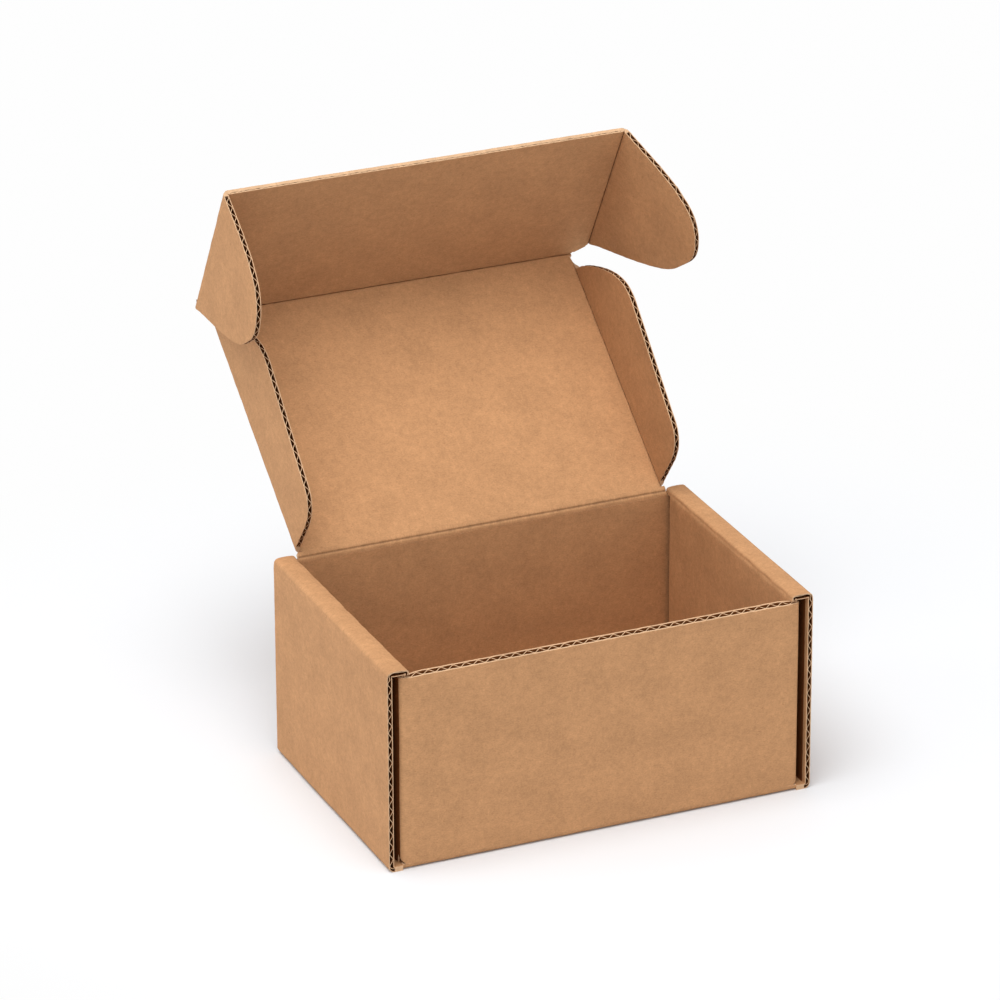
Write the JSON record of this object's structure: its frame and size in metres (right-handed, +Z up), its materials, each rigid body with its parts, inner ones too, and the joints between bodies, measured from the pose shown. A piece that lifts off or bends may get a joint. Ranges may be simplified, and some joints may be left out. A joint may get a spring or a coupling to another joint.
{
  "type": "mailer box",
  "caption": "Corrugated cardboard mailer box, open: folded tray with double side walls, hinged lid with side wings, tuck panel and ears that enter slots beside the front wall.",
  "frame": {"origin": "middle of the bottom face of the tray, on the surface that the box stands on", "axes": "+Z up, +Y from the front wall towards the hinged back wall, +X towards the right-hand side wall as seen from the front"},
  "size_m": [0.2424, 0.2597, 0.2777],
  "materials": {
    "board": "matt uncoated kraft, faint flute lines"
  },
  "bodies": {
    "tray": {"tray": "board"},
    "lid": {"lid": "board"},
    "lid_wing_left": {"lid_wing_left": "board"},
    "lid_wing_right": {"lid_wing_right": "board"},
    "tuck_panel": {"tuck_panel": "board"},
    "tuck_ear_left": {"tuck_ear_left": "board"},
    "tuck_ear_right": {"tuck_ear_right": "board"}
  },
  "joints": [
    {"name": "lid_hinge", "type": "hinge", "parent": "tray", "child": "lid", "pos_m": [0, 0.0712, 0.10565], "axis": [-1, 0, 0], "range_deg": [-96, 37.5]},
    {"name": "wing_left_hinge", "type": "hinge", "parent": "lid", "child": "lid_wing_left", "pos_m": [-0.0999, 0.0712, 0.10565], "axis": [0, -0.7934, -0.6088], "range_deg": [0, 90]},
    {"name": "wing_right_hinge", "type": "hinge", "parent": "lid", "child": "lid_wing_right", "pos_m": [0.0999, 0.0712, 0.10565], "axis": [0, 0.7934, 0.6088], "range_deg": [0, 90]},
    {"name": "tuck_hinge", "type": "hinge", "parent": "lid", "child": "tuck_panel", "pos_m": [0, 0.18659, 0.19419], "axis": [-1, 0, 0], "range_deg": [-8, 82]},
    {"name": "ear_left_hinge", "type": "hinge", "parent": "tuck_panel", "child": "tuck_ear_left", "pos_m": [-0.1089, 0.18659, 0.19419], "axis": [0, 0.4924, -0.8704], "range_deg": [-2.5, 87.5]},
    {"name": "ear_right_hinge", "type": "hinge", "parent": "tuck_panel", "child": "tuck_ear_right", "pos_m": [0.1089, 0.18659, 0.19419], "axis": [0, -0.4924, 0.8704], "range_deg": [-16, 74]}
  ]
}
